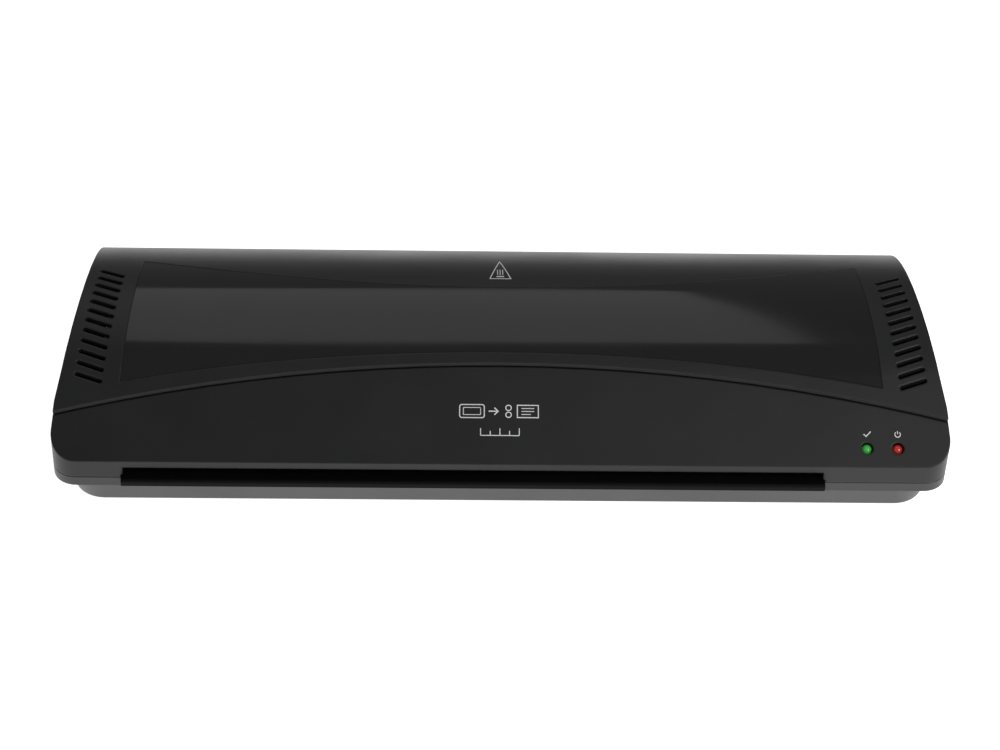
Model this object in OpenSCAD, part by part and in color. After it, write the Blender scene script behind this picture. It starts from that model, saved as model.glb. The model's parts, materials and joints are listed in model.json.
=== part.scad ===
// Pouch laminator: shells, feed path, heated rollers, drive train, pressure release and controls.
// Units mm. X to the right, Y to the back, Z up. Origin on the table, at the middle of the plan.

/* [Body] */
// Width over both sides
body_w = 437; // [400:1:530]
// Depth from the front band to the rear wall
body_d = 146; // [130:1:180]
// Height of the crown above the table
body_h = 72; // [66:1:90]
// Wall of the moulded shells
wall = 2.4; // [1.8:0.1:3.2]
// Height of the rubber feet
foot_h = 2.5; // [1.5:0.5:6]
// Height where the base tray steps in below its upright band
crease_z = 15.3; // [13:0.1:18]
// Height of the joint between base tray and covers
seam_z = 20.8; // [19:0.1:24]
// Height of the front cover's upper edge
edge_z = 30.7; // [28:0.1:36]

/* [Covers] */
// Step up from front cover to top cover
step_h = 1.8; // [1.0:0.1:3]
// Distance from the front band to the start of the crown's curve
crown_y = 38; // [30:1:46]
// Distance from the front band to the highest line
ridge_y = 86.3; // [76:0.1:100]
// Radius of the two front corners in plan
corner_r = 12; // [8:1:16]
// Radius of the two rear corners in plan
rear_corner_r = 8; // [6:1:12]
// How much narrower each side is at the back
waist_in = 14; // [8:1:18]
// Radius of the hollow sides in plan
waist_r = 510; // [400:10:900]
// Plan angle of the straight front part of the sides
side_taper = 4; // [2:0.5:5]
// Distance from the front band to the cover joint, on the centre line
joint_y = 41.9; // [38:0.1:50]
// Plan radius of the cover joint
joint_r = 1085; // [900:5:1400]
// Gap at the cover joint
joint_gap = 0.5; // [0.3:0.1:1]
// How far the base tray tapers in from the crease to its floor
base_in = 4.5; // [3:0.5:7]
// Number of vent slots on each side
vent_n = 12; // [6:1:14]
// Spacing of the vent slots along the crown
vent_pitch = 5.78; // [5:0.01:7]
// Width of a vent slot
vent_w = 2.6; // [1.5:0.1:3.2]
// Length of a vent slot
vent_l = 14; // [10:0.5:15]
// Distance of the front vent slot's middle from the side of the body
vent_in = 17.1; // [15:0.1:24]
// How much further in each slot behind it lies
vent_in_step = 0.64; // [0.4:0.01:0.8]
// Turn of the front vent slot, seen from above
vent_turn = 15.3; // [0:0.1:20]
// How much further each slot behind it is turned
vent_turn_step = 0.76; // [0:0.01:1]

/* [Feed path] */
// Width of the feed slot
slot_w = 340; // [310:1:350]
// Sideways shift of the feed slot, to leave room for the drive
slot_shift = -13.6; // [-16:0.1:-10]
// Upper edge of the slot in the front band
mouth_z = 26.7; // [26:0.1:28]
// Top of the feed lip
lip_z = 21.9; // [21:0.1:22.5]
// Reach of the feed lip in front of the front band
lip_out = 4; // [2:0.5:8]
// Height of the nip between the rollers
nip_z = 27; // [26.5:0.1:29]
// Position of the nip behind the front band
nip_y = 78; // [74:1:84]
// Spacing of the guide ribs on the feed tray
rib_pitch = 23; // [15:1:30]
// Height of the exit slot
exit_h = 5.4; // [4.6:0.1:7]

/* [Rollers and drive] */
// Radius of the rubber rollers
roller_r = 8; // [7:0.5:9]
// Radius of the roller shafts
shaft_r = 4; // [3:0.5:5]
// Gap between the rollers at rest
nip_gap = 0.3; // [0.2:0.1:0.6]
// Thickness of the frame plates
plate_t = 1.5; // [1:0.5:2]
// Diameter of the motor can
motor_d = 48; // [40:1:50]
// Depth of the motor can
motor_l = 18; // [14:1:18]
// Teeth on each roller gear
roller_teeth = 16; // [14:1:18]
// Teeth on the idler gear
idler_teeth = 18; // [16:1:18]
// Teeth on the motor pinion
pinion_teeth = 12; // [10:1:14]

/* [Controls] */
// Distance between the two lamps
lamp_pitch = 15.1; // [12:0.1:20]
// Radius of the lamp holes
lamp_hole_r = 3; // [2.7:0.1:3.5]
// Radius of the lamp lenses
lamp_r = 2.5; // [2:0.1:2.5]
// Diameter of the hole for the mains cord
cord_d = 7; // [6:0.5:8]

/* [Output] */
// Part to show

/* [Hidden] */
$fn = 96;
fine = 0.3;
run_fit = 0.05;
slide_fit = 0.15;
big = 900;

yf = -body_d/2;
yr = body_d/2;
rear_half = body_w/2 - waist_in;
base_floor = foot_h + wall;

// apron tilt so that the crown meets the wanted height
rise = body_h - edge_z - step_h;
run_a = crown_y;
run_b = ridge_y - crown_y;
function half_tan(t, n) = n == 0 ? t : half_tan(rise/(2*run_a/(1 - t*t) + run_b), n - 1);
tilt = 2*atan(half_tan(0.3, 12));
crown_r = run_b/sin(tilt);
crown_c = [yf + ridge_y, body_h - crown_r];

corner_x = body_w/2 - corner_r;
corner_y = yf + corner_r;
rear_y = yr - rear_corner_r;
rear_x = rear_half - rear_corner_r;
knee_y = yf + 24;
waist_flats = 8;

slot_x0 = slot_shift - slot_w/2;
slot_x1 = slot_shift + slot_w/2;
frame_half = slot_w/2 + 5.5;
left_x = slot_shift - frame_half;
right_x = slot_shift + frame_half;
ny = yf + nip_y;
upper_z = nip_z + nip_gap/2 + roller_r;
lower_z = nip_z - nip_gap/2 - roller_r;
shoe_gap = 2;
shoe_t = 2.5;
shoe_r0 = roller_r + shoe_gap;
shoe_r1 = shoe_r0 + shoe_t;
path_gap = 1.5;
roller_l = 2*frame_half - 16;
shaft_out = 12;

// height of the crown's outer surface at a distance behind the front band
function crown_z(y) = y < crown_y ? edge_z + step_h + y*tan(tilt)
    : crown_c[1] + sqrt(pow(crown_r, 2) - pow(yf + y - crown_c[0], 2));

module at_x(x, l) {
    translate([x, 0, 0]) rotate([90, 0, 90]) linear_extrude(l) children();
}

module rod(x, l, y, z, r) {
    translate([x, y, z]) rotate([0, 90, 0]) cylinder(r = r, h = l);
}

// half width of the hollow sides at y, moved in by t
function waist_x(y, t) = rear_half + waist_r - sqrt(pow(waist_r + t, 2) - pow(y - rear_y, 2));

// outline of the covers seen from above, moved in by t
module outline(t = 0) {
    cr = corner_r - t;
    px = corner_x + cr*cos(side_taper);
    py = corner_y + cr*sin(side_taper);
    half = concat([[corner_x, yf + t], [px, py]],
        [for (i = [0:waist_flats]) let (y = knee_y + (rear_y - knee_y)*i/waist_flats) [waist_x(y, t), y]],
        [[waist_x(rear_y, t), yr - t]]);
    difference() {
        union() {
            polygon(concat(half, [for (i = [len(half) - 1:-1:0]) [-half[i][0], half[i][1]]]));
            for (s = [-1, 1])
                translate([s*corner_x, corner_y]) circle(r = cr);
        }
        for (s = [-1, 1])
            translate([s*rear_x, rear_y]) difference() {
                polygon([[0, 0], [s*30, 0], [s*30, 30], [0, 30]]);
                circle(r = rear_corner_r - t);
            }
    }
}

// side profile under the crown, moved in by t, from height z0 up
module crown_profile(t, z0) {
    r = crown_r - t;
    tx = crown_c[0] - r*sin(tilt);
    tz = crown_c[1] + r*cos(tilt);
    front = yf - 10;
    back = yr + 10;
    difference() {
        polygon([[front, z0], [front, tz - (tx - front)*tan(tilt)],
                 [back, tz + (back - tx)*tan(tilt)], [back, z0]]);
        difference() {
            polygon([crown_c, crown_c + 2*crown_r*[-sin(tilt), cos(tilt)],
                     crown_c + 4*crown_r*[0, 1], crown_c + 4*crown_r*[1, 1], crown_c + [2*crown_r, 0]]);
            translate(crown_c) circle(r = r, $fn = 360);
        }
    }
}

module crown_solid(t, z0) {
    intersection() {
        at_x(-big/2, big) crown_profile(t, z0 - 5);
        translate([0, 0, z0]) linear_extrude(2*body_h) outline(t);
    }
}

// body under the apron plane, moved in by t, with the front band thinned by the wall
module apron_solid(t, z0, side = 0) {
    top = edge_z - t/cos(tilt);
    intersection() {
        at_x(-big/2, big)
            polygon([[yf - 10, z0], [yf - 10, top - 10*tan(tilt)],
                     [yf + 70, top + 70*tan(tilt)], [yf + 70, z0]]);
        translate([0, 0, z0]) linear_extrude(2*body_h) outline(side);
    }
}

joint_flats = 24;
joint_span = 13;

// prism in front of the cover joint, grown by g
module joint_prism(g) {
    translate([0, 0, -10]) linear_extrude(3*body_h)
        polygon(concat([for (i = [0:joint_flats])
                            let (a = joint_span*(2*i/joint_flats - 1))
                            [(joint_r + g)*sin(a), yf + joint_y - joint_r + (joint_r + g)*cos(a)]],
                       [[big/2, yf - 60], [-big/2, yf - 60]]));
}

// --- fixing points -----------------------------------------------------------------------
front_bosses = [[-body_w/2 + 13.5, yf + 17], [body_w/2 - 13.5, yf + 17]];
rear_bosses = [[-body_w/2 + 18, yf + 60], [body_w/2 - 18, yf + 60],
               [-rear_half + 7.9, ny + 26.5], [right_x + plate_t + 6.1, ny + 42]];
boss_top = 16.6;
boss_r = 3.2;
screw_r = 1.5;
head_r = 2.8;
head_h = 1.8;
head_seat = 9.5;
case_screw_l = 15;

module cover_bosses(points) {
    for (p = points)
        translate([p[0], p[1], boss_top + fine]) cylinder(r = boss_r, h = 2*body_h);
}

module cover_pilots(points) {
    for (p = points)
        translate([p[0], p[1], boss_top - 1]) cylinder(r = screw_r + run_fit, h = 14);
}

// --- moulded covers ------------------------------------------------------------------------
lamp_y = 8;
lamp_x = [body_w/2 - 40.9, body_w/2 - 40.9 + lamp_pitch];

// frame on the apron: origin at y behind the front band, z axis along the apron normal
module on_apron(x, y) {
    translate([x, yf + y, edge_z + y*tan(tilt)]) rotate([tilt, 0, 0]) children();
}

board_depth = 9;
board_posts = [lamp_x[0] - 8, lamp_x[1] + 5.9];

module front_cover() {
    color("#3b3d3f") {
        difference() {
            union() {
                difference() {
                    intersection() {
                        apron_solid(0, seam_z);
                        joint_prism(-joint_gap);
                    }
                    apron_solid(wall, seam_z - 1, wall);
                }
                // tongue that the top cover laps over
                intersection() {
                    difference() {
                        apron_solid(1.5, seam_z + 6, wall + slide_fit);
                        apron_solid(3.3, seam_z, wall + 2);
                    }
                    difference() {
                        joint_prism(5);
                        joint_prism(-3);
                    }
                }
                intersection() {
                    cover_bosses(front_bosses);
                    apron_solid(1, seam_z - 5, 1);
                    joint_prism(-joint_gap);
                }
                intersection() {
                    for (x = board_posts)
                        on_apron(x, lamp_y + 1) translate([0, 0, -board_depth])
                            cylinder(r = 2.2, h = board_depth);
                    apron_solid(1, seam_z - 5, 1);
                }
            }
            cover_pilots(front_bosses);
            // slot
            translate([slot_x0, yf - 5, seam_z - 5]) cube([slot_w, 5 + wall + 1, mouth_z - seam_z + 5]);
            translate([slot_x0 - 1.2, yf - 5, seam_z - 5])
                cube([slot_w + 2.4, 5 + wall + 1, lip_z + 0.3 - seam_z + 5]);
            // lamp holes and board screw pilots
            for (x = lamp_x)
                on_apron(x, lamp_y) translate([0, 0, -10]) cylinder(r = lamp_hole_r, h = 20);
            for (x = board_posts)
                on_apron(x, lamp_y + 1) translate([0, 0, -board_depth - 1]) cylinder(r = 1.05, h = 7);
        }
    }
}

inlay_depth = 0.9;
inlay_gap = 0.15;
inlay_back_r = 749;
inlay_front_r = 1217;

inlay_back_half = body_w/2 - 39.1;
inlay_front_half = body_w/2 - 32.6;
inlay_flats = 24;

// hourglass outline of the glossy panel, grown by g
module inlay_outline(g = 0) {
    steps = [for (i = [0:inlay_flats]) 2*i/inlay_flats - 1];
    rb = inlay_back_r - g;
    rf = inlay_front_r - g;
    polygon(concat([for (k = steps) let (x = -k*(inlay_back_half + g))
                        [x, yf + 86 + inlay_back_r - sqrt(rb*rb - x*x)]],
                   [for (k = steps) let (x = k*(inlay_front_half + g))
                        [x, yf + 47 - inlay_front_r + sqrt(rf*rf - x*x)]]));
}

module inlay_solid(t0, t1, g) {
    intersection() {
        difference() {
            crown_solid(t0, seam_z + 10);
            crown_solid(t1, seam_z + 9);
        }
        translate([0, 0, seam_z]) linear_extrude(2*body_h) inlay_outline(g);
    }
}

module gloss_inlay() {
    color("#2c2c2c") inlay_solid(0.1, inlay_depth - 0.05, 0);
}

// distance behind the front band of a point on the crown, from its arc length in front of the ridge
arc_l = crown_r*tilt*PI/180;
function vent_y(l) = l < arc_l ? ridge_y - crown_r*sin(l/crown_r*180/PI)
    : crown_y - (l - arc_l)*cos(tilt);
vent_start = -10.2;

// slot of length l and width w along X, with faceted round ends
module round_slot(l, w) {
    polygon([for (e = [-1, 1], k = [-4:4])
        [e*((l - w)/2 + w/2*cos(22.5*k)), e*w/2*sin(22.5*k)]]);
}

module vents() {
    for (s = [-1, 1]) {
        for (i = [0:vent_n - 1]) {
            y = vent_y(vent_start + i*vent_pitch);
            back = vent_n - 1 - i;
            x = body_w/2 - vent_in - vent_in_step*back;
            dy = vent_w*(vent_y(vent_start + (i - 0.5)*vent_pitch)
                - vent_y(vent_start + (i + 0.5)*vent_pitch))/vent_pitch;
            translate([s*x, yf + y - 2, seam_z + 12])
                rotate([0, 0, s*(vent_turn + vent_turn_step*back)])
                    linear_extrude(body_h) round_slot(vent_l, dy);
        }
    }
}

switch_x = rear_half - 19.8;
switch_z = seam_z + 12.2;
switch_w = 19.2;
switch_h = 13;
gland_x = rear_half - 37.4;
gland_r = 5.5;
lever_x = left_x - plate_t - 1.3;
lever_t = 2.2;
lever_slot_z = [28.2, 42.2];
exit_z = nip_z + 0.8 - exit_h/2;

module top_cover() {
    color("#3a3c3d") difference() {
        union() {
            difference() {
                crown_solid(0, seam_z);
                crown_solid(wall, seam_z - 1);
                joint_prism(0);
            }
            difference() {
                intersection() {
                    cover_bosses(rear_bosses);
                    crown_solid(1, seam_z - 5);
                }
                joint_prism(6);
            }
        }
        difference() {
            translate([0, 0, seam_z + 15]) linear_extrude(body_h) inlay_outline(inlay_gap);
            crown_solid(inlay_depth, seam_z - 5);
        }
        vents();
        cover_pilots(rear_bosses);
        translate([slot_x0, yr - 8, exit_z]) cube([slot_w, 12, exit_h]);
        translate([switch_x - switch_w/2, yr - 8, switch_z - switch_h/2])
            cube([switch_w, 12, switch_h]);
        translate([gland_x, yr - 8, switch_z]) rotate([-90, 0, 0]) cylinder(r = gland_r, h = 12);
        translate([lever_x - 2, yr - 8, lever_slot_z[0]])
            cube([4, 12, lever_slot_z[1] - lever_slot_z[0]]);
    }
}

// --- base tray -------------------------------------------------------------------------------
low_r = 20.5;
low_half = body_w/2 - 4;
low_rear_half = rear_half - 2.4;
low_angle = atan((low_half - low_rear_half)/(body_d - 2*low_r));
low_slope = base_in/(crease_z - foot_h);

// everything inside one sloping side of the base
module low_side(s, x, y, e0, e1, z0, z1) {
    translate([s*x, y, 0]) rotate([0, 0, s*low_angle]) rotate([90, 0, 0])
        linear_extrude(2*big, center = true)
            polygon([[s*(low_r - e0), z0], [s*(low_r - e1), z1], [-s*big, z1], [-s*big, z0]]);
}

// rounded, tapering solid between z0 and z1; moved in by t
module low_solid(t, z0, z1) {
    e0 = t + (crease_z - z0)*low_slope;
    e1 = t + (crease_z - z1)*low_slope;
    h = z1 - z0;
    fx = low_half - low_r;
    rx = low_rear_half - low_r;
    fy = yf + 0.5 + low_r;
    ry = yr - 0.5 - low_r;
    difference() {
        intersection() {
            at_x(-big/2, big)
                polygon([[fy - low_r + e0, z0], [fy - low_r + e1, z1],
                         [ry + low_r - e1, z1], [ry + low_r - e0, z0]]);
            low_side(-1, fx, fy, e0, e1, z0, z1);
            low_side(1, fx, fy, e0, e1, z0, z1);
        }
        for (s = [-1, 1]) {
            translate([s*fx, fy, z0 - 1]) difference() {
                linear_extrude(h + 2) polygon([[0, 0], [0, -2*low_r], [s*2*low_r, -2*low_r],
                    [s*2*low_r*cos(low_angle), 2*low_r*sin(low_angle)]]);
                cylinder(r1 = low_r - e0 - low_slope, r2 = low_r - e1 + low_slope, h = h + 2);
            }
            translate([s*rx, ry, z0 - 1]) difference() {
                linear_extrude(h + 2) polygon([[0, 0], [0, 2*low_r], [s*2*low_r, 2*low_r],
                    [s*2*low_r*cos(low_angle), 2*low_r*sin(low_angle)]]);
                cylinder(r1 = low_r - e0 - low_slope, r2 = low_r - e1 + low_slope, h = h + 2);
            }
        }
    }
}

feet_x = body_w/2 - 42;
feet_y = yr - 25;
foot_r = 7;
foot_sink = 1;

module base_tray() {
    color("#4a4c4e") difference() {
        union() {
            difference() {
                union() {
                    translate([0, 0, crease_z]) linear_extrude(seam_z - fine - crease_z) outline(0);
                    low_solid(0, foot_h, crease_z + 1);
                }
                translate([0, 0, crease_z + wall]) linear_extrude(20) outline(wall);
                low_solid(wall, base_floor, crease_z + wall + 1);
            }
            intersection() {
                for (p = concat(front_bosses, rear_bosses))
                    translate([p[0], p[1], foot_h]) cylinder(r = 4.8, h = boss_top - foot_h);
                union() {
                    low_solid(0.2, foot_h, crease_z + 0.5);
                    translate([0, 0, crease_z]) linear_extrude(10) outline(0.2);
                }
            }
        }
        for (p = concat(front_bosses, rear_bosses)) translate([p[0], p[1], 0]) {
            cylinder(r = head_r + 0.3, h = head_seat);
            cylinder(r = screw_r + 0.2, h = 30);
        }
        for (sx = [-1, 1], sy = [-1, 1])
            translate([sx*feet_x, sy*feet_y, 0]) cylinder(r = foot_r + run_fit, h = foot_h + foot_sink);
        // notch for the feed lip
        translate([slot_x0 - 1.2, yf - 1, lip_z - 2.2]) cube([slot_w + 2.4, wall + 3, 10]);
        // air inlets under the rollers
        for (i = [-6:6])
            translate([slot_shift + i*24, ny - 34, 0]) cube([3, 24, base_floor + 1]);
        // frame screws come up through the floor
        for (p = frame_feet) translate([p[0], p[1], 0]) {
            cylinder(r = screw_r + 0.2, h = base_floor + 1);
            cylinder(r = head_r + 0.3, h = foot_h + head_h - 0.6);
        }
    }
}

module rubber_feet() {
    color("#1b1b1b") for (sx = [-1, 1], sy = [-1, 1])
        translate([sx*feet_x, sy*feet_y, 0]) {
            cylinder(r1 = foot_r - 0.8, r2 = foot_r - 0.3, h = 0.8);
            translate([0, 0, 0.8]) cylinder(r = foot_r - 0.3, h = foot_h - 0.8 + foot_sink);
        }
}

// --- feed path -------------------------------------------------------------------------------
tray_t = 1.8;
tray_rear = ny - shoe_r0 - 24;
tray_rise = 3.2;

module feed_tray() {
    color("#141515") {
        difference() {
            at_x(slot_x0 - 0.9, slot_w + 1.8) union() {
                polygon([[yf - lip_out + 1, lip_z - 0.5], [yf - lip_out + 1.6, lip_z], [yf + 20, lip_z],
                         [tray_rear, lip_z + tray_rise], [tray_rear, lip_z + tray_rise - tray_t],
                         [yf + 20, lip_z - tray_t], [yf - fine - 0.2, lip_z - tray_t],
                         [yf - fine - 0.2, lip_z - 4.6], [yf - lip_out + 1.5, lip_z - 4.6],
                         [yf - lip_out, lip_z - 3.4], [yf - lip_out, lip_z - 1.5]]);
                translate([yf - lip_out + 1.5, lip_z - 1.5]) circle(r = 1.5);
            }
            for (s = [0, 1])
                translate([s == 0 ? slot_x0 - 0.9 : slot_x1 + 0.9, yf, lip_z - 4.6])
                    rotate([90, 0, 0]) linear_extrude(20) difference() {
                        square(4, center = true);
                        translate([s == 0 ? 2 : -2, 2]) circle(r = 2);
                    }
        }
        for (i = [-7:7])
            translate([slot_shift + i*rib_pitch - 0.6, yf + 8, lip_z - 0.5]) cube([1.2, 12, 1.2]);
    }
}

module exit_guide() {
    y0 = ny + roller_r + 4.5;
    y1 = yr - wall - 0.4;
    color("#1a1b1b") {
        translate([slot_x0 + 2, y0, exit_z - 2.2]) cube([slot_w - 4, y1 - y0, 1.8]);
        for (i = [-7:7])
            translate([slot_shift + i*rib_pitch - 0.6, y0 + 2, exit_z - 6.4])
                cube([1.2, y1 - y0 - 2, 4.8]);
        for (s = [-1, 1])
            translate([slot_shift + s*(slot_w/2 - 30) - 5, y0 + 10, base_floor])
                cube([10, 6, exit_z - 2 - base_floor]);
    }
}

module shoe(s) {
    cz = s > 0 ? upper_z : lower_z;
    tail = 24;
    face = -roller_r - nip_gap/2 + path_gap;
    at_x(left_x + 0.1, 2*frame_half - 0.2) translate([ny, cz]) mirror([0, s > 0 ? 0 : 1]) {
        difference() {
            circle(r = shoe_r1);
            circle(r = shoe_r0);
            // open towards the nip and the exit
            polygon([[0, 0], [40, 22], [40, -40], [0, -40]]);
            translate([-30, -40]) square([60, 40 + face]);
        }
        translate([-shoe_r0 - tail, face]) square([tail + 1, shoe_t]);
    }
}

module upper_shoe() {
    color("#b9bcbe") difference() {
        shoe(1);
        shoe_pilots();
    }
}

module lower_shoe() {
    color("#b9bcbe") difference() {
        shoe(-1);
        shoe_pilots();
    }
}

shoe_screw_y = ny - shoe_r0 - 14;

module shoe_pilots() {
    for (s = [-1, 1])
        translate([0, shoe_screw_y, nip_z + s*(path_gap + shoe_t/2)]) rotate([0, 90, 0])
            cylinder(r = 0.8, h = big, center = true, $fn = 32);
}

heater_w = 12;
heater_t = 3;
heater_l = slot_w - 60;
heater_y = ny - shoe_r0 - 7 - heater_w;

module heater(s) {
    z = nip_z + s*(path_gap + shoe_t + 0.05);
    translate([slot_shift - heater_l/2, heater_y, s > 0 ? z : z - heater_t])
        cube([heater_l, heater_w, heater_t]);
    for (e = [-1, 1])
        translate([slot_shift + e*heater_l/2 - 4, heater_y + 2, s > 0 ? z + 1 : z - 2])
            cube([8, 2, 1]);
}

module upper_heater() {
    color("#e8e2d2") heater(1);
}

module lower_heater() {
    color("#e8e2d2") heater(-1);
}

thermostat_x = slot_x1 - 13;

module thermostat() {
    color("#8d8f90") {
        translate([thermostat_x, shoe_screw_y + 3, nip_z + path_gap + shoe_t + 0.05]) {
            cylinder(r = 7, h = 3);
            translate([0, 0, 3]) cylinder(r = 5.6, h = 3.4);
            for (e = [-1, 1])
                translate([e*3.4 - 1.5, -0.4, 6.4]) cube([3, 0.8, 5]);
        }
    }
}

fuse_x = slot_x0 + 12;

module thermal_fuse() {
    color("#c9b98c") {
        rod(fuse_x, 11, shoe_screw_y + 3, nip_z + path_gap + shoe_t + 2.1, 2);
        rod(fuse_x - 6, 23, shoe_screw_y + 3, nip_z + path_gap + shoe_t + 2.1, 0.45);
    }
}

shield_t = 0.8;
shield_top = upper_z + shoe_r1 + 2.6;

module heat_shield() {
    w = 27;
    color("#a9acae") difference() {
        at_x(left_x + 0.3, 2*frame_half - 0.6) polygon([[ny - w, upper_z + 3], [ny - w, shield_top],
            [ny + w, shield_top], [ny + w, upper_z + 5], [ny + w - shield_t, upper_z + 5],
            [ny + w - shield_t, shield_top - shield_t], [ny - w + shield_t, shield_top - shield_t],
            [ny - w + shield_t, upper_z + 3]]);
        for (i = [-4:4])
            translate([slot_shift + i*34 - 10, ny - 3, shield_top - 3]) cube([20, 6, 6]);
        // way out for the thermostat's wires
        translate([thermostat_x - 9, ny - w - 2, upper_z]) cube([40, 12, 13]);
    }
}

// --- frame -----------------------------------------------------------------------------------
frame_top = upper_z + 14.5;
frame_feet = [[left_x + 6.5, ny - 26], [left_x + 6.5, ny + 22],
              [right_x - 6.5, ny - 26], [right_x - 6.5, ny + 22]];
block_w = 13;
block_l = 7;
release_y = ny + 17;
release_r = 2.5;
idler_a = -5;
pinion_a = 62;
mesh_gap = 0.2;
idler_c = [ny, lower_z] + ((roller_teeth + idler_teeth)/2 + mesh_gap)*[cos(idler_a), sin(idler_a)];
pinion_c = idler_c + ((idler_teeth + pinion_teeth)/2 + mesh_gap)*[cos(pinion_a), sin(pinion_a)];
idler_pin_r = 2.5;
plate_gap = 13.2;
motor_plate_x = right_x + plate_t + plate_gap;
spacers = [[ny - 14, lower_z - 6], [ny - 14, upper_z + 9], [ny + 7, base_floor + 3.5]];
spacer_screw_r = 1.5;

module frame_plate(s) {
    x0 = s < 0 ? left_x - plate_t : right_x;
    difference() {
        union() {
            at_x(x0, plate_t) difference() {
                polygon([[ny - 32, base_floor], [ny + 28, base_floor], [ny + 28, upper_z + 4],
                         [ny + 20, frame_top], [ny - 20, frame_top], [ny - 32, upper_z + 4]]);
                translate([ny, lower_z]) circle(r = shaft_r + 2 + run_fit);
                translate([ny - block_w/2 - slide_fit, upper_z - block_w/2 - slide_fit])
                    square([block_w + 2*slide_fit, frame_top]);
                translate([release_y, upper_z]) circle(r = release_r + run_fit);
                for (k = [-1, 1])
                    translate([shoe_screw_y, nip_z + k*(path_gap + shoe_t/2)]) circle(r = 1.1);
                if (s > 0) {
                    for (p = spacers) translate(p) circle(r = spacer_screw_r + run_fit);
                    translate(idler_c) circle(r = idler_pin_r);
                }
            }
            // bridge that holds the top of the spring
            translate([s < 0 ? x0 - block_l : x0, ny - 11, frame_top - 0.01])
                cube([block_l + plate_t, 22, plate_t]);
            // foot tabs
            for (p = frame_feet) if (p[0]*s > 0)
                translate([s < 0 ? left_x - plate_t : right_x - 12, p[1] - 5, base_floor])
                    cube([12 + plate_t, 10, plate_t]);
        }
        for (p = frame_feet)
            translate([p[0], p[1], 0]) cylinder(r = screw_r + run_fit, h = 20);
    }
}

module left_frame() {
    color("#9ea2a5") frame_plate(-1);
}

module right_frame() {
    color("#9ea2a5") frame_plate(1);
}

module lower_bush(s) {
    x0 = s < 0 ? left_x - 4 : right_x - 1.2;
    difference() {
        union() {
            rod(s < 0 ? left_x - 4 : right_x, 4, ny, lower_z, shaft_r + 2);
            rod(s < 0 ? left_x : right_x - 1.2, 1.2, ny, lower_z, shaft_r + 3.6);
        }
        rod(x0 - 1, 8, ny, lower_z, shaft_r + run_fit);
    }
}

module lower_left_bush() {
    color("#d8cfae") lower_bush(-1);
}

module lower_right_bush() {
    color("#d8cfae") lower_bush(1);
}

lug_l = 5.5;

// sliding bearing block with the lug the release cam lifts
module block(s) {
    x0 = s < 0 ? left_x - block_l : right_x;
    cam_x = s < 0 ? x0 : x0 + plate_t + 0.4;
    cam_l = s < 0 ? block_l - plate_t - 2.7 : block_l - plate_t - 0.4;
    difference() {
        union() {
            translate([x0, ny - block_w/2, upper_z - block_w/2]) cube([block_l, block_w, block_w]);
            translate([cam_x, ny, upper_z + 1.6]) cube([cam_l, block_w/2 + lug_l, 3]);
            rod(s < 0 ? left_x : right_x - 1.2, 1.2, ny, upper_z, shaft_r + 3.6);
        }
        rod(x0 - 3, block_l + 6, ny, upper_z, shaft_r + run_fit);
    }
}

module upper_left_block() {
    color("#d8cfae") block(-1);
}

module upper_right_block() {
    color("#d8cfae") block(1);
}

spring_l = frame_top - upper_z - block_w/2;
wire_r = 0.45;

// coil built from half rings that climb a quarter of the pitch either side of their middle
module coil(r, h, turns) {
    p = h/turns;
    b = asin(p/(4*r));
    for (i = [0:turns - 1], k = [0, 1])
        translate([0, 0, p*(i + k/2 + 0.25)]) {
            rotate([0, k == 0 ? b : -b, 0]) rotate(180*k)
                rotate_extrude(angle = 180, $fn = 48) translate([r, 0]) circle(r = wire_r, $fn = 24);
        }
    for (i = [0:turns - 1], k = [0, 1])
        translate([(k == 0 ? 1 : -1)*r*cos(b), 0, p*(i + k/2)]) sphere(r = 1.05*wire_r, $fn = 24);
    for (z = [0, h])
        translate([0, 0, z]) rotate_extrude($fn = 48) translate([r, 0]) circle(r = wire_r, $fn = 24);
}

module spring(s) {
    x = s < 0 ? left_x - block_l/2 - 1.2 : right_x + block_l/2 + 1.2;
    translate([x, ny, upper_z + block_w/2 + 1.06*wire_r]) coil(2.2, spring_l - 2.12*wire_r, 4);
}

module left_spring() {
    color("#c4c7c9") spring(-1);
}

module right_spring() {
    color("#c4c7c9") spring(1);
}

// --- rollers and drive -------------------------------------------------------------------------
shaft_x0 = left_x - block_l - 0.6;
shaft_x1 = motor_plate_x - 0.8;
gear_x = right_x + plate_t + block_l - 1;
gear_l = motor_plate_x - 1.4 - gear_x;

module roller_sleeve(z) {
    difference() {
        rod(slot_shift - roller_l/2, roller_l, ny, z, roller_r);
        rod(slot_shift - roller_l/2 - 1, roller_l + 2, ny, z, shaft_r);
    }
}

module upper_roller() {
    color("#a8452f") roller_sleeve(upper_z);
}

module lower_roller() {
    color("#a8452f") roller_sleeve(lower_z);
}

module upper_shaft() {
    color("#b5b8ba") rod(shaft_x0, shaft_x1 - shaft_x0, ny, upper_z, shaft_r);
}

module lower_shaft() {
    color("#b5b8ba") rod(shaft_x0 + 3, shaft_x1 - shaft_x0 - 3, ny, lower_z, shaft_r);
}

// spur gear outline of module 1 with straight flanks
module gear_outline(n, phase, bore) {
    p = n/2;
    rotate(phase) difference() {
        union() {
            circle(r = p - 1.2);
            for (i = [0:n - 1])
                rotate(i*360/n)
                    polygon([[p - 1.5, -1.2], [p - 1.2, -1.1], [p, -0.7], [p + 0.9, -0.34],
                             [p + 0.9, 0.34], [p, 0.7], [p - 1.2, 1.1], [p - 1.5, 1.2]]);
        }
        circle(r = bore);
    }
}

function mesh_phase(a, phi, n1, n2) = a + 180 - 360/n2*(0.5 - (a - phi)*n1/360);

idler_phase = mesh_phase(idler_a, 90, roller_teeth, idler_teeth);
pinion_phase = mesh_phase(pinion_a, idler_phase, idler_teeth, pinion_teeth);
motor_shaft_r = 2.5;

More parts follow.
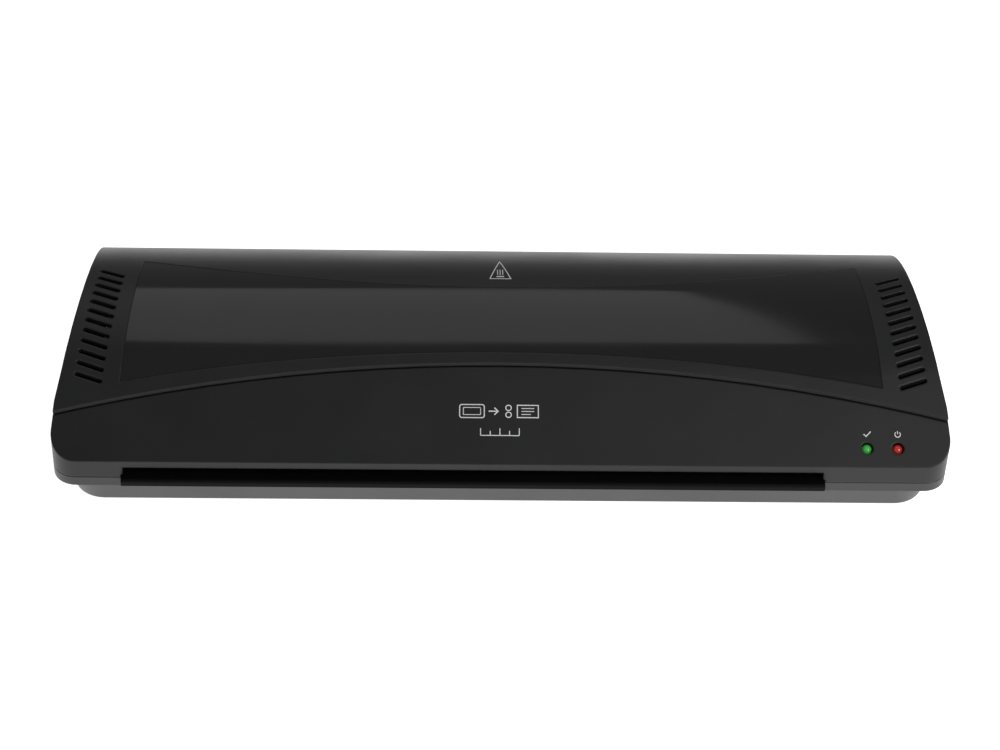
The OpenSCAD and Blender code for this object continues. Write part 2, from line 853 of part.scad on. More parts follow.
module lower_gear() {
    color("#e4e1d8") at_x(gear_x, gear_l) translate([ny, lower_z])
        gear_outline(roller_teeth, 90, shaft_r);
}

module upper_gear() {
    color("#e4e1d8") at_x(gear_x, gear_l) translate([ny, upper_z])
        gear_outline(roller_teeth, mesh_phase(90, 90, roller_teeth, roller_teeth), shaft_r);
}

module idler_gear() {
    color("#e4e1d8") at_x(gear_x, gear_l) translate(idler_c)
        gear_outline(idler_teeth, idler_phase, idler_pin_r + run_fit);
}

module motor_pinion() {
    color("#e4e1d8") at_x(gear_x, gear_l) translate(pinion_c)
        gear_outline(pinion_teeth, pinion_phase, motor_shaft_r);
}

module motor_shaft() {
    color("#b5b8ba") rod(gear_x - 0.5, motor_plate_x + plate_t + 4 - gear_x + 0.5,
        pinion_c[0], pinion_c[1], motor_shaft_r);
}

module idler_pin() {
    color("#b5b8ba") rod(right_x, plate_gap + 2*plate_t, idler_c[0], idler_c[1], idler_pin_r);
}

motor_ears = [for (k = [-1, 1]) pinion_c + k*(motor_d/2 + 3.5)*[cos(50), -sin(50)]];

module motor_plate() {
    color("#9ea2a5") at_x(motor_plate_x, plate_t) difference() {
        polygon([[ny - 18, base_floor + 0.3], [ny + 12, base_floor + 0.3], pinion_c + [30, -24],
                 pinion_c + [30, -14], pinion_c + [4, 27], [ny - 18, frame_top]]);
        for (p = spacers) translate(p) circle(r = spacer_screw_r + run_fit);
        for (p = motor_ears) translate(p) circle(r = spacer_screw_r + run_fit);
        translate(idler_c) circle(r = idler_pin_r);
        translate(pinion_c) circle(r = 6);
        translate([ny, lower_z]) circle(r = shaft_r + 2);
        translate([ny, upper_z]) circle(r = shaft_r + 2);
    }
}

module plate_spacers() {
    color("#c7c9ca") for (p = spacers)
        difference() {
            rod(right_x + plate_t, plate_gap, p[0], p[1], 3);
            rod(right_x, plate_gap + 4, p[0], p[1], spacer_screw_r + run_fit);
        }
}

module motor() {
    x0 = motor_plate_x + plate_t;
    color("#b9b19b") difference() {
        union() {
            rod(x0, motor_l, pinion_c[0], pinion_c[1], motor_d/2);
            at_x(x0, 1) for (p = motor_ears) {
                translate(p) circle(r = 3.5);
                translate((p + pinion_c)/2) rotate(-50) square([motor_d/2 + 4, 7], center = true);
            }
        }
        for (p = motor_ears) rod(x0 - 1, 3, p[0], p[1], spacer_screw_r + run_fit);
        rod(x0 - 1, 8, pinion_c[0], pinion_c[1], motor_shaft_r + run_fit);
    }
}

// --- pressure release ----------------------------------------------------------------------------
lever_rest = 4.9;
lever_reach = yr + 9 - release_y;

module release_shaft() {
    x0 = left_x - block_l + 0.2;
    x1 = right_x + block_l - 0.2;
    color("#b5b8ba") rod(x0, x1 - x0, release_y, upper_z, release_r);
}

module cam(x, l) {
    tip = lug_l + 5;
    difference() {
        at_x(x, l) translate([release_y, upper_z]) {
            circle(r = 4.2);
            translate([-tip + 1.3, -1.3]) square([tip - 1.3, 2.6]);
            translate([-tip + 1.3, 0]) circle(r = 1.3, $fn = 48);
        }
        rod(x - 1, l + 2, release_y, upper_z, release_r);
    }
}

module left_cam() {
    color("#d9d4c8") cam(left_x - block_l + 0.3, block_l - plate_t - 3.1);
}

module right_cam() {
    color("#d9d4c8") cam(right_x + plate_t + 0.6, block_l - plate_t - 0.9);
}

module release_lever() {
    color("#2b2d2e") difference() {
        at_x(lever_x - lever_t/2, lever_t) translate([release_y, upper_z]) rotate(lever_rest) {
            circle(r = 5);
            translate([0, -1.6]) square([lever_reach, 3.2]);
        }
        rod(lever_x - 2, 4, release_y, upper_z, release_r);
    }
    color("#2b2d2e") translate([lever_x, release_y, upper_z]) rotate([lever_rest, 0, 0])
        translate([-4, yr + 2.2 - release_y, -2]) cube([8, 7, 4]);
}

// --- controls ----------------------------------------------------------------------------------
lamp_dome_z = -2.8;

module lamp(x) {
    on_apron(x, lamp_y) {
        translate([0, 0, lamp_dome_z]) intersection() {
            sphere(r = lamp_r);
            translate([0, 0, 5]) cube(10, center = true);
        }
        translate([0, 0, -board_depth + 1]) cylinder(r = lamp_r, h = board_depth - 1 + lamp_dome_z);
        translate([0, 0, -board_depth + 0.1]) cylinder(r = lamp_r + 0.4, h = 1);
        for (e = [-1, 1])
            translate([e*1.27, 0, -board_depth - 2.4]) cylinder(r = 0.3, h = 2.8, $fn = 24);
    }
}

module ready_lamp() {
    color("#39a33c") lamp(lamp_x[0]);
}

module power_lamp() {
    color("#b32a28") lamp(lamp_x[1]);
}

module lamp_board() {
    x0 = lamp_x[0] - 12;
    x1 = lamp_x[1] + 8.1;
    color("#2f6b3a") on_apron(0, lamp_y) translate([0, 0, -board_depth - 1.6]) difference() {
        translate([x0, -5, 0]) cube([x1 - x0, 12, 1.6]);
        for (x = board_posts) translate([x, 1/cos(tilt), -1]) cylinder(r = 1.2, h = 4);
        for (x = lamp_x, e = [-1, 1])
            translate([x + e*1.27, 0, -1]) cylinder(r = 0.36, h = 4, $fn = 24);
    }
}

module screw(l, r, hr, hh) {
    cylinder(r = r, h = l);
    translate([0, 0, -hh]) difference() {
        cylinder(r = hr, h = hh + 0.01);
        for (a = [0, 90])
            rotate(a) translate([-hr*0.6, -0.35, -1]) cube([hr*1.2, 0.7, 1 + hh*0.45]);
    }
}

module board_screws() {
    color("#9fa2a4") for (x = board_posts)
        on_apron(x, lamp_y + 1) translate([0, 0, -board_depth - 1.65]) screw(6, 1, 2, 1.4);
}

rocker_tilt = 7;
rocker_pin_r = 1.2;

module rocker_switch() {
    color("#191a1a") difference() {
        union() {
            translate([switch_x - switch_w/2 + 0.2, yr - 16, switch_z - switch_h/2 + 0.2])
                cube([switch_w - 0.4, 16, switch_h - 0.4]);
            translate([switch_x - switch_w/2 - 1, yr, switch_z - switch_h/2 - 1])
                cube([switch_w + 2, 1.5, switch_h + 2]);
            for (e = [-1, 1])
                translate([switch_x + e*4.6 - 0.4, yr - 19, switch_z - 2.4]) cube([0.8, 4, 4.8]);
        }
        translate([switch_x - 8, yr - 7, switch_z - 5]) cube([16, 10, 10]);
        translate([switch_x, yr - 1.5, switch_z - 5.8]) cylinder(r = rocker_pin_r + run_fit, h = 11.6);
    }
}

module power_rocker() {
    color("#202121") translate([switch_x, yr - 1.5, switch_z]) rotate([0, 0, rocker_tilt]) {
        translate([0, 0, -4.8]) linear_extrude(9.6)
            polygon([[-7.3, -3], [-7.3, 4], [0, 3], [7.3, 4], [7.3, -3], [3, -4.4], [-3, -4.4]]);
        translate([0, 0, -5.6]) cylinder(r = rocker_pin_r, h = 11.2);
    }
}

module cord_gland() {
    color("#1d1e1e") translate([gland_x, yr, switch_z]) rotate([-90, 0, 0]) difference() {
        union() {
            translate([0, 0, -wall - 4]) cylinder(r = gland_r - 0.15, h = wall + 4);
            cylinder(r = gland_r + 1.2, h = 2);
            translate([0, 0, 2]) cylinder(r1 = gland_r - 0.2, r2 = cord_d/2 + 1.2, h = 4);
            translate([0, 0, -wall - 5]) cylinder(r = gland_r - 0.6, h = 2);
        }
        translate([0, 0, -wall - 6]) cylinder(r = cord_d/2, h = wall + 14);
    }
}

ctrl_x = right_x + plate_t + 3;
ctrl_y = yf + 27;
ctrl_z = 11.4;
ctrl_w = 28;
ctrl_d = 32;

module control_board() {
    color("#2f6b3a") {
        difference() {
            translate([ctrl_x, ctrl_y, ctrl_z]) cube([ctrl_w, ctrl_d, 1.6]);
            for (ex = [3, ctrl_w - 3], ey = [3, ctrl_d - 3])
                translate([ctrl_x + ex, ctrl_y + ey, ctrl_z - 1]) cylinder(r = 1.25, h = 4);
        }
        translate([ctrl_x + 7, ctrl_y + 12, ctrl_z + 1.6]) cube([13, 7, 8]);
        translate([ctrl_x + 10, ctrl_y + 25, ctrl_z + 1.6]) cylinder(r = 4, h = 9);
        translate([ctrl_x + 19, ctrl_y + 25, ctrl_z + 1.6]) cylinder(r = 3, h = 7);
        translate([ctrl_x + 22, ctrl_y + 7, ctrl_z + 1.6]) cube([5, 13, 5]);
    }
}

module board_posts_base() {
    color("#4a4c4e") for (ex = [3, ctrl_w - 3], ey = [3, ctrl_d - 3])
        translate([ctrl_x + ex, ctrl_y + ey, base_floor]) {
            cylinder(r = 2.6, h = ctrl_z - base_floor - 0.05);
            cylinder(r = 1.15, h = ctrl_z - base_floor + 2.4);
        }
}

module terminal_block() {
    color("#d9d6c9") translate([-body_w/2 + 16, yf + 24, base_floor]) difference() {
        cube([11, 22, 9]);
        for (i = [0:2])
            translate([5.5, 4 + 7*i, 4]) {
                cylinder(r = 1.8, h = 6);
                rotate([0, 90, 0]) cylinder(r = 1.4, h = 30, center = true);
            }
    }
}

// --- wiring and fasteners --------------------------------------------------------------------
module wire(pts, r = 0.9) {
    for (i = [0:len(pts) - 2]) {
        d = pts[i + 1] - pts[i];
        l = norm(d);
        translate(pts[i]) rotate([0, acos(d[2]/l), atan2(d[1], d[0])]) cylinder(r = r, h = l, $fn = 24);
    }
    for (p = pts) translate(p) sphere(r = 1.05*r, $fn = 24);
}

module wiring() {
    z = nip_z + path_gap + shoe_t + 13;
    cx = ctrl_x + 10;
    color("#b8b4a8") {
        wire([[thermostat_x - 3.4, shoe_screw_y + 3, z - 0.6], [thermostat_x - 3.4, shoe_screw_y - 6, z + 3],
              [right_x + 10, shoe_screw_y - 9, z + 1], [cx, ctrl_y + 22, 34], [cx, ctrl_y + 16, ctrl_z + 11]]);
        wire([[thermostat_x + 3.4, shoe_screw_y + 3, z - 0.6], [thermostat_x + 3.4, shoe_screw_y - 3, z + 1],
              [right_x + 9, shoe_screw_y - 6, z - 2], [cx + 4, ctrl_y + 22, 31], [cx + 4, ctrl_y + 16, ctrl_z + 11]]);
    }
}

module case_screws() {
    color("#8b8e90") for (p = concat(front_bosses, rear_bosses))
        translate([p[0], p[1], head_seat - 0.02]) screw(case_screw_l, screw_r, head_r, head_h);
}

module frame_screws() {
    color("#8b8e90") for (p = frame_feet)
        translate([p[0], p[1], foot_h + head_h - 0.65]) screw(6, screw_r, head_r, head_h - 0.4);
}

module shoe_screws() {
    color("#8b8e90") for (s = [-1, 1], k = [-1, 1])
        translate([s < 0 ? left_x - plate_t - 0.05 : right_x + plate_t + 0.05, shoe_screw_y,
                   nip_z + k*(path_gap + shoe_t/2)])
            rotate([0, -s*90, 0]) screw(7, 0.75, 1.8, 1.2);
}

module plate_screws() {
    color("#8b8e90") for (p = spacers)
        translate([motor_plate_x + plate_t + 0.05, p[0], p[1]]) rotate([0, -90, 0])
            screw(plate_gap + 2*plate_t, spacer_screw_r, head_r, head_h);
}

module motor_screws() {
    color("#8b8e90") for (p = motor_ears)
        translate([motor_plate_x + plate_t + 1.05, p[0], p[1]]) rotate([0, -90, 0])
            screw(4, spacer_screw_r, head_r, head_h);
}

base_tray();
board_posts_base();
front_cover();
top_cover();
gloss_inlay();
feed_tray();
exit_guide();
rubber_feet();
left_frame();
right_frame();
lower_left_bush();
lower_right_bush();
upper_left_block();
upper_right_block();
left_spring();
right_spring();
upper_shoe();
lower_shoe();
upper_heater();
lower_heater();
heat_shield();
thermostat();
thermal_fuse();
upper_roller();
lower_roller();
upper_shaft();
lower_shaft();
upper_gear();
lower_gear();
idler_gear();
idler_pin();
motor_pinion();
motor_shaft();
motor();
motor_plate();
plate_spacers();
release_shaft();
left_cam();
right_cam();
release_lever();
ready_lamp();
power_lamp();
lamp_board();
rocker_switch();
power_rocker();
cord_gland();
control_board();
terminal_block();
wiring();
case_screws();
frame_screws();
shoe_screws();
plate_screws();
motor_screws();
board_screws();
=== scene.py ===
"""Pouch laminator: finishes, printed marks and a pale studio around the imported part."""
import json
import math

import bpy
from mathutils import Matrix, Vector


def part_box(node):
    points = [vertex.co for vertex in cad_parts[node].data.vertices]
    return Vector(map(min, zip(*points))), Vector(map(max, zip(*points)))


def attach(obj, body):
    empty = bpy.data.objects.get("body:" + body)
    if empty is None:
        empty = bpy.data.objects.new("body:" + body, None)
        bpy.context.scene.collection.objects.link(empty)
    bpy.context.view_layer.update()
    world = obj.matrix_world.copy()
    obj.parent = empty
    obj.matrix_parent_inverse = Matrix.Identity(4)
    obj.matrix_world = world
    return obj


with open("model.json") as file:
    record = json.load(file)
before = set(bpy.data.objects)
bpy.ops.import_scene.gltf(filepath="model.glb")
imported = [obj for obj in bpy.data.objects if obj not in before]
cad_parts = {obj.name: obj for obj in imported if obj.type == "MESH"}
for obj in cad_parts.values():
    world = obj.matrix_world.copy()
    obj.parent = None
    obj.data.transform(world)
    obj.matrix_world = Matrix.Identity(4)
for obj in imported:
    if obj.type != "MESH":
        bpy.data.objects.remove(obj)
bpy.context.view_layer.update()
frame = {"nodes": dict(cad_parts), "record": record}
nodes = frame["nodes"]
MM = 0.001


# ---- shape of the covers, in millimetres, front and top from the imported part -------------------
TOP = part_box("top_cover")[1].z / MM
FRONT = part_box("front_cover")[0].y / MM
# Height of the apron's front edge, and rise of the crown over the apron
EDGE = 30.7
STEP = 1.8
# Distances behind the front band where the crown's arc starts and where it is highest
CROWN_START = 38.0
RIDGE = 86.3


def crown_tilt():
    """Slope of the apron that carries the crown's arc up to the top, found by repetition."""
    t = 0.3
    run = RIDGE - CROWN_START
    for _ in range(12):
        t = (TOP - EDGE - STEP) / (2 * CROWN_START / (1 - t * t) + run)
    return 2 * math.atan(t)


TILT = crown_tilt()
CROWN_R = (RIDGE - CROWN_START) / math.sin(TILT)
CROWN_Z = TOP - CROWN_R


def apron_point(u, v, h):
    """A point u across, v behind the front band (in plan) and h off the apron."""
    z = EDGE + v * math.tan(TILT)
    return Vector((u, FRONT + v - h * math.sin(TILT), z + h * math.cos(TILT))) * MM


def crown_point(u, v, h):
    """A point u across, v behind the front band (in plan) and h off the crown."""
    if v < CROWN_START:
        return apron_point(u, v, h + STEP * math.cos(TILT))
    a = math.asin((v - RIDGE) / CROWN_R)
    y = FRONT + RIDGE + (CROWN_R + h) * math.sin(a)
    return Vector((u, y, CROWN_Z + (CROWN_R + h) * math.cos(a))) * MM


# ---- materials -------------------------------------------------------------------------------
class Nodes:
    """Small helper that adds and links shader nodes."""

    def __init__(self, name):
        self.mat = bpy.data.materials.new(name)
        self.mat.use_nodes = True
        self.tree = self.mat.node_tree
        self.bsdf = self.tree.nodes["Principled BSDF"]
        self.coord = self.add("ShaderNodeTexCoord").outputs["Object"]

    def add(self, kind, **values):
        node = self.tree.nodes.new(kind)
        for key, value in values.items():
            if hasattr(node, key):
                setattr(node, key, value)
            else:
                node.inputs[key.replace("_", " ")].default_value = value
        return node

    def link(self, a, b):
        self.tree.links.new(a, b)

    def noise(self, scale, detail=3.0, stretch=(1, 1, 1), rough=0.5):
        place = self.add("ShaderNodeMapping")
        place.inputs["Scale"].default_value = stretch
        self.link(self.coord, place.inputs["Vector"])
        node = self.add("ShaderNodeTexNoise", Scale=scale, Detail=detail, Roughness=rough)
        self.link(place.outputs[0], node.inputs["Vector"])
        return node.outputs["Fac"]

    def span(self, value, low, high, at=(0.3, 0.7)):
        node = self.add("ShaderNodeMapRange")
        for key, number in zip(("From Min", "From Max", "To Min", "To Max"), (*at, low, high)):
            node.inputs[key].default_value = number
        self.link(value, node.inputs["Value"])
        return node.outputs["Result"]

    def mix(self, fac, a, b):
        node = self.add("ShaderNodeMix", data_type="RGBA")
        self.link(fac, node.inputs["Factor"])
        node.inputs[6].default_value = (*a, 1)
        node.inputs[7].default_value = (*b, 1)
        return node.outputs[2]

    def bump(self, height, distance, strength=1.0, after=None):
        node = self.add("ShaderNodeBump", Strength=strength, Distance=distance)
        self.link(height, node.inputs["Height"])
        if after is not None:
            self.link(after, node.inputs["Normal"])
        return node.outputs["Normal"]


COAT_ROUGHNESS = 0.04
LAMP_GLOW = 0.15


def shade(name, dark, light, rough, grain=0.0, scale=2500.0, depth=0.00004, metal=0.0,
          brushed=None, worn=0.0, clear=0.0, ior=1.5, glow=None, edge=0.0):
    """One procedural finish: mottled colour, uneven gloss, and a moulded or brushed surface.

    grain, brushed and worn add bumps of their own kind, and edge is the radius in mm to which
    the shading rounds the edges.
    """
    n = Nodes(name)
    b = n.bsdf
    tone = n.noise(35.0, 4.0)
    colour = n.mix(n.span(tone, 0, 1), dark, light)
    n.link(colour, b.inputs["Base Color"])
    patch = n.noise(14.0, 5.0, rough=0.6)
    n.link(n.span(patch, rough[0], rough[1]), b.inputs["Roughness"])
    b.inputs["Metallic"].default_value = metal
    b.inputs["IOR"].default_value = ior
    b.inputs["Coat Weight"].default_value = clear
    b.inputs["Coat Roughness"].default_value = COAT_ROUGHNESS
    normal = None
    if edge:
        normal = n.add("ShaderNodeBevel", samples=6, Radius=edge * MM).outputs["Normal"]
    if grain:
        normal = n.bump(n.noise(scale, 2.0, rough=0.4), depth, grain, normal)
    if brushed:
        normal = n.bump(n.noise(400.0, 3.0, stretch=brushed), 0.00003, 0.5, normal)
    if worn:
        normal = n.bump(n.noise(90.0, 2.0), 0.0002, worn, normal)
    if normal is not None:
        n.link(normal, b.inputs["Normal"])
    if glow:
        b.inputs["Emission Color"].default_value = (*glow, 1)
        b.inputs["Emission Strength"].default_value = LAMP_GLOW
    return n.mat


def plastic(name, dark, light, rough, grain=0.3, **more):
    return shade(name, dark, light, rough, grain=grain, **more)


def metal(name, dark, light, rough=(0.25, 0.4), brushed=(1, 30, 30), **more):
    return shade(name, dark, light, rough, metal=1.0, brushed=brushed, **more)


def grey(value, cool=0.06):
    """A grey that leans towards blue."""
    return (value, value * (1 + cool * 0.5), value * (1 + cool))


FINISH = {
    "cover_plastic": plastic("cover_plastic", grey(0.007), grey(0.010), (0.36, 0.44), grain=0.3,
                             ior=1.46, edge=1.1),
    "base_plastic": plastic("base_plastic", grey(0.013), grey(0.018), (0.36, 0.44), grain=0.3,
                            ior=1.6, edge=0.8),
    "panel_gloss": shade("panel_gloss", (0.007, 0.007, 0.007), (0.009, 0.009, 0.009), (0.08, 0.12),
                         worn=0.02),
    "lip_plastic": plastic("lip_plastic", grey(0.002), grey(0.003), (0.5, 0.6), grain=0.1, ior=1.2,
                           edge=0.4),
    "black_plastic": plastic("black_plastic", grey(0.008), grey(0.012), (0.38, 0.5), edge=0.4),
    "foot_rubber": plastic("foot_rubber", grey(0.010), grey(0.016), (0.7, 0.85), grain=0.6,
                           scale=900.0),
    "frame_steel": metal("frame_steel", (0.42, 0.44, 0.46), (0.56, 0.58, 0.6)),
    "shaft_steel": metal("shaft_steel", (0.5, 0.51, 0.52), (0.62, 0.63, 0.64), (0.15, 0.25),
                         brushed=(40, 1, 1)),
    "screw_steel": metal("screw_steel", (0.4, 0.41, 0.42), (0.52, 0.53, 0.54)),
    "spring_steel": metal("spring_steel", (0.5, 0.51, 0.52), (0.6, 0.61, 0.62), (0.15, 0.25)),
    "shoe_aluminium": metal("shoe_aluminium", (0.55, 0.56, 0.57), (0.68, 0.69, 0.7), (0.3, 0.45),
                            brushed=(1, 60, 60)),
    "shield_metal": metal("shield_metal", (0.46, 0.47, 0.48), (0.58, 0.59, 0.6), (0.3, 0.45)),
    "heater_ceramic": shade("heater_ceramic", (0.6, 0.56, 0.46), (0.74, 0.71, 0.62), (0.5, 0.7),
                            grain=0.3, scale=800.0),
    "silicone": shade("silicone", (0.25, 0.055, 0.03), (0.34, 0.09, 0.05), (0.5, 0.65), grain=0.5,
                      scale=1400.0),
    "acetal": plastic("acetal", (0.62, 0.6, 0.54), (0.74, 0.72, 0.66), (0.35, 0.5), grain=0.15),
    "bearing_plastic": plastic("bearing_plastic", (0.5, 0.42, 0.27), (0.62, 0.55, 0.38),
                               (0.4, 0.55)),
    "motor_metal": metal("motor_metal", (0.42, 0.39, 0.3), (0.55, 0.52, 0.42), (0.35, 0.5)),
    "board": plastic("board", (0.015, 0.09, 0.03), (0.03, 0.14, 0.05), (0.3, 0.45), grain=0.1),
    "green_lens": shade("green_lens", (0.03, 0.3, 0.04), (0.07, 0.42, 0.07), (0.12, 0.22),
                        worn=0.05, clear=0.6, glow=(0.04, 0.5, 0.05)),
    "red_lens": shade("red_lens", (0.35, 0.02, 0.015), (0.5, 0.035, 0.025), (0.12, 0.22), worn=0.05,
                      clear=0.6, glow=(0.55, 0.02, 0.015)),
    "wire_sleeve": plastic("wire_sleeve", (0.4, 0.37, 0.3), (0.55, 0.52, 0.44), (0.6, 0.8),
                           grain=0.6, scale=1600.0),
    "terminal_plastic": plastic("terminal_plastic", (0.55, 0.53, 0.46), (0.68, 0.66, 0.58),
                                (0.4, 0.55)),
}
PRINT = shade("print_white", (0.72, 0.73, 0.73), (0.82, 0.83, 0.83), (0.4, 0.55), grain=0.3,
              scale=1800.0)


def dress(obj, slot_name):
    """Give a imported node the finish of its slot."""
    obj.data.materials.clear()
    obj.data.materials.append(FINISH[slot_name])
    for face in obj.data.polygons:
        face.material_index = 0


for part in frame["record"]["subparts"]:
    dress(nodes[part["node"]], part["material_slot"])

# ---- printed marks -----------------------------------------------------------------------------
# Thickness of the print, and how far a corner of a line may be drawn out
INK = 0.05
MITRE = 0.35


def stroke(points, width, closed=False):
    """Left and right borders of a line of the given width through the points."""
    count = len(points)
    sides = []
    for i, p in enumerate(points):
        before = Vector(points[i - 1]) if i or closed else None
        after = Vector(points[(i + 1) % count]) if i < count - 1 or closed else None
        here = Vector(p)
        d0 = (here - before).normalized() if before is not None else (after - here).normalized()
        d1 = (after - here).normalized() if after is not None else d0
        n0, n1 = Vector((-d0.y, d0.x)), Vector((-d1.y, d1.x))
        m = (n0 + n1).normalized()
        m *= width / 2 / max(m.dot(n0), MITRE)
        sides.append((here + m, here - m))
    return sides


def ink(name, lines, place, body="housing"):
    """Raised print of several (points, width, closed) lines, laid on a surface by place(u, v, h)."""
    verts, faces = [], []
    for points, width, closed in lines:
        sides = stroke(points, width, closed)
        start = len(verts)
        for left, right in sides:
            for h in (0.0, INK):
                verts += [place(left.x, left.y, h), place(right.x, right.y, h)]
        count = len(sides)
        for i in range(count if closed else count - 1):
            a = start + 4 * i
            b = start + 4 * ((i + 1) % count)
            faces += [(a + 2, a + 3, b + 3, b + 2), (a, b, b + 1, a + 1),
                      (a, a + 2, b + 2, b), (a + 1, b + 1, b + 3, a + 3)]
        if not closed:
            for a in (start, start + 4 * (count - 1)):
                faces.append((a, a + 1, a + 3, a + 2))
    mesh = bpy.data.meshes.new(name)
    mesh.from_pydata(verts, [], faces)
    mesh.materials.append(PRINT)
    mesh.validate()
    obj = bpy.data.objects.new(name, mesh)
    bpy.context.scene.collection.objects.link(obj)
    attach(obj, body)
    return obj


def fine(points, step=1.0, closed=False):
    """The same line with points no further apart than step, to follow a curved surface."""
    result = []
    ends = list(points[1:]) + ([points[0]] if closed else [])
    for (x0, y0), (x1, y1) in zip(points, ends):
        count = max(1, math.ceil(math.hypot(x1 - x0, y1 - y0) / step))
        result += [(x0 + (x1 - x0) * i / count, y0 + (y1 - y0) * i / count) for i in range(count)]
    return result if closed else result + [points[-1]]


def arc(x, y, r, a0, a1, steps=24):
    return [(x + r * math.cos(math.radians(a0 + (a1 - a0) * i / steps)),
             y + r * math.sin(math.radians(a0 + (a1 - a0) * i / steps)))
            for i in range(steps + 1)]


def rounded(x0, y0, x1, y1, r):
    """Rectangle with rounded corners."""
    points = []
    for x, y, a in ((x1 - r, y1 - r, 0), (x0 + r, y1 - r, 90),
                    (x0 + r, y0 + r, 180), (x1 - r, y0 + r, 270)):
        points += arc(x, y, r, a, a + 90, 6)
    return points


PLAN = math.cos(TILT)


def apron_place(x, behind):
    """Local axes of a mark on the apron: u across, v up the slope, from a point on it."""
    return lambda u, v, h: apron_point(x + u, behind + v * PLAN, h)


pouch = [(rounded(-19.5, 0, -7.5, 6.6, 1.1), 0.5, True),
         (rounded(-17.7, 1.5, -9.3, 5.1, 0.3), 0.35, True),
         ([(-5.4, 3.3), (-0.8, 3.3)], 0.6, False),
         ([(-2.6, 5.1), (-0.8, 3.3), (-2.6, 1.5)], 0.6, False),
         (arc(4.3, 5.05, 1.35, 0, 345, 23), 0.5, True),
         (arc(4.3, 1.55, 1.35, 0, 345, 23), 0.5, True),
         ([(8.6, 0.2), (8.6, 6.4), (18.8, 6.4), (18.8, 0.2)], 0.5, True)]
pouch += [([(10.6, 1.8 + 1.5 * i), (16.8 - 1.6 * (i == 0), 1.8 + 1.5 * i)], 0.4, False)
          for i in range(3)]
ink("front_pictogram", pouch, apron_place(-1.5, 19.6))

# five ticks on a line, every other one long
TICK_PITCH = 4.7
LINE_V, SHORT_V, LONG_V = 0.9, 3.2, 4.6
GAUGE_LINE = 0.45
ticks = [TICK_PITCH * (i - 2) for i in range(5)]
gauge = [([(ticks[0], LINE_V), (ticks[-1], LINE_V)], GAUGE_LINE, False)]
gauge += [([(x, LINE_V), (x, SHORT_V if i % 2 else LONG_V)], GAUGE_LINE, False)
          for i, x in enumerate(ticks)]
ink("width_scale", gauge, apron_place(-1.4, 11.4))

LABEL_V = 13.9


def over_lamp(low, high):
    """Local axes of a mark on the apron above the lamp with these corners."""
    return apron_place((low.x + high.x) / 2 / MM, LABEL_V)


ink("ready_mark", [([(-1.6, 0.1), (-0.4, -1.1), (1.9, 1.4)], 0.5, False)],
    over_lamp(*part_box("ready_lamp")))
ink("power_mark", [(arc(0, 0, 1.35, 130, 410, 28), 0.42, False),
                   ([(0, 0.2), (0, 1.8)], 0.42, False)], over_lamp(*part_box("power_lamp")))

HEAT_X = -0.6
HEAT_V0, HEAT_V1 = 93.6, 112.0


def on_crown(u, v, h):
    return crown_point(HEAT_X + u, v, h)


heat = [([(-5.2, HEAT_V0), (5.2, HEAT_V0), (0, HEAT_V1)], 0.5, True),
        ([(-1.9, HEAT_V0 + 2), (1.9, HEAT_V0 + 2)], 0.9, False)]
heat += [([(x, HEAT_V0 + 3.6), (x, HEAT_V0 + 8.8)], 0.42, False) for x in (-1.3, 0, 1.3)]
ink("heat_mark", [(fine(line, closed=loop), width, loop) for line, width, loop in heat], on_crown)

# ---- studio ------------------------------------------------------------------------------------
FLOOR_GLOW = 1.15
WORLD_GLOW = 0.22
FLOOR_RADIUS = 4.0
FLOOR_RINGS, FLOOR_SIDES = 12, 48


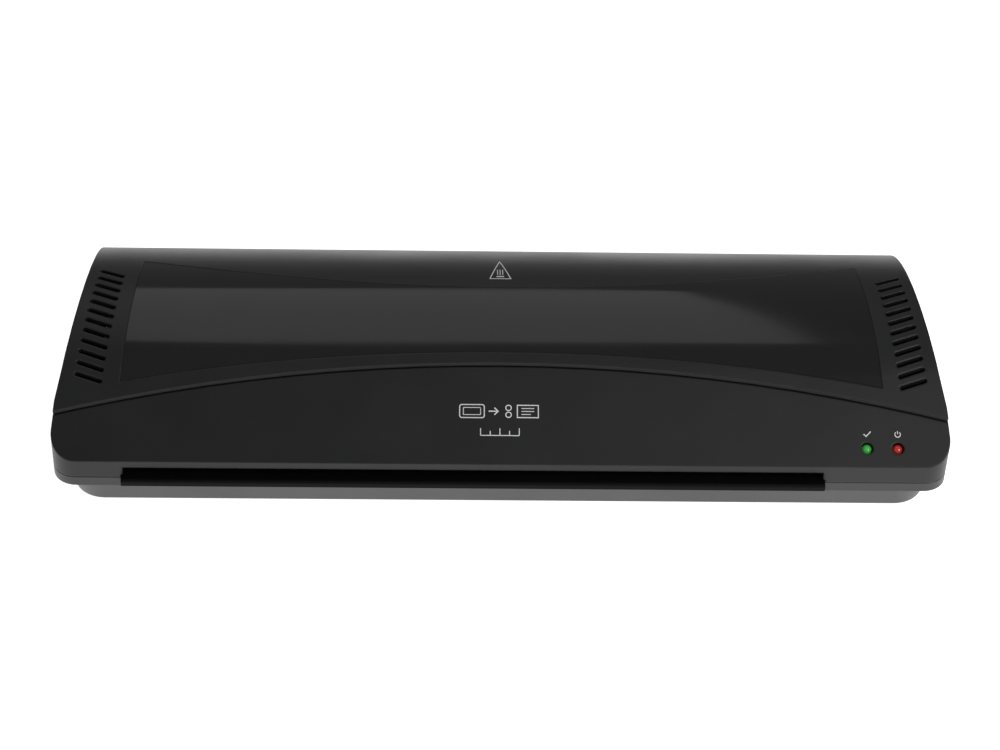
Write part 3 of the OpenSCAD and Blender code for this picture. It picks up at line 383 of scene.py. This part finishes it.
def floor():
    """Pale disc that glows a little, as a lit sweep of paper does."""
    n = Nodes("floor")
    pale = n.mix(n.span(n.noise(3.0, 3.0), 0, 1), (0.80, 0.80, 0.80), (0.83, 0.83, 0.83))
    n.link(pale, n.bsdf.inputs["Base Color"])
    n.link(n.span(n.noise(8.0, 3.0), 0.6, 0.7), n.bsdf.inputs["Roughness"])
    n.link(pale, n.bsdf.inputs["Emission Color"])
    n.bsdf.inputs["Emission Strength"].default_value = FLOOR_GLOW
    mesh = bpy.data.meshes.new("floor")
    rings, sides = FLOOR_RINGS, FLOOR_SIDES
    verts = [(0, 0, 0)] + [(FLOOR_RADIUS * k / rings * math.cos(2 * math.pi * i / sides),
                            FLOOR_RADIUS * k / rings * math.sin(2 * math.pi * i / sides), 0)
                           for k in range(1, rings + 1) for i in range(sides)]
    faces = [(0, 1 + i, 1 + (i + 1) % sides) for i in range(sides)]
    for k in range(rings - 1):
        for i in range(sides):
            a, b = 1 + k * sides, 1 + (k + 1) * sides
            j = (i + 1) % sides
            faces.append((a + i, b + i, b + j, a + j))
    mesh.from_pydata(verts, [], faces)
    mesh.materials.append(n.mat)
    obj = bpy.data.objects.new("floor", mesh)
    bpy.context.scene.collection.objects.link(obj)


floor()


def panel(name, place, aim, size, radiance):
    """Soft box of the given radiance, facing a point."""
    light = bpy.data.lights.new(name, "AREA")
    light.shape = "RECTANGLE"
    light.size, light.size_y = size
    light.energy = radiance * math.pi * size[0] * size[1]
    obj = bpy.data.objects.new(name, light)
    bpy.context.scene.collection.objects.link(obj)
    obj.location = place
    obj.rotation_euler = (Vector(aim) - Vector(place)).to_track_quat("-Z", "Y").to_euler()


panel("top_softbox", (-0.05, 0.66, 1.3), (-0.03, 0.42, 0), (0.72, 1.2), 0.62)
panel("front_softbox", (0.4, -0.75, 1.25), (0.1, -0.1, 0), (0.5, 0.5), 1.1)
panel("edge_softbox", (0.9, -1.6, 0.5), (0.15, -0.08, 0.03), (1.0, 0.16), 3.5)
panel("right_softbox", (1.0, -0.8, 0.9), (0.3, -0.1, 0), (0.5, 0.5), 10)
panel("left_softbox", (-1.1, -1.0, 0.75), (-0.2, -0.1, 0), (0.4, 0.4), 2)

world = bpy.data.worlds.new("studio")
world.use_nodes = True
world.node_tree.nodes["Background"].inputs["Color"].default_value = (1, 1, 1, 1)
world.node_tree.nodes["Background"].inputs["Strength"].default_value = WORLD_GLOW
bpy.context.scene.world = world

scene = bpy.context.scene
scene.view_settings.view_transform = "Standard"
scene.view_settings.look = "None"

# the photograph's viewing angle: about 40 degrees down, nearly straight from the front
CAMERA_AT = Vector((-39.99, -1005.25, 869.25)) * MM
CAMERA_LOOK = (0.0305, 0.7658, -0.6424)
CAMERA_RIGHT = (0.99950, -0.01773, 0.02632)
camera = bpy.data.cameras.new("camera")
camera.sensor_width = 36.0
camera.lens = 93.31
camera.clip_end = 20.0
view = bpy.data.objects.new("camera", camera)
scene.collection.objects.link(view)
look = Vector(CAMERA_LOOK).normalized()
up = Vector(CAMERA_RIGHT).normalized().cross(look).normalized()
turn = Matrix((look.cross(up), up, -look)).transposed()
view.matrix_world = Matrix.Translation(CAMERA_AT) @ turn.to_4x4()
scene.camera = view
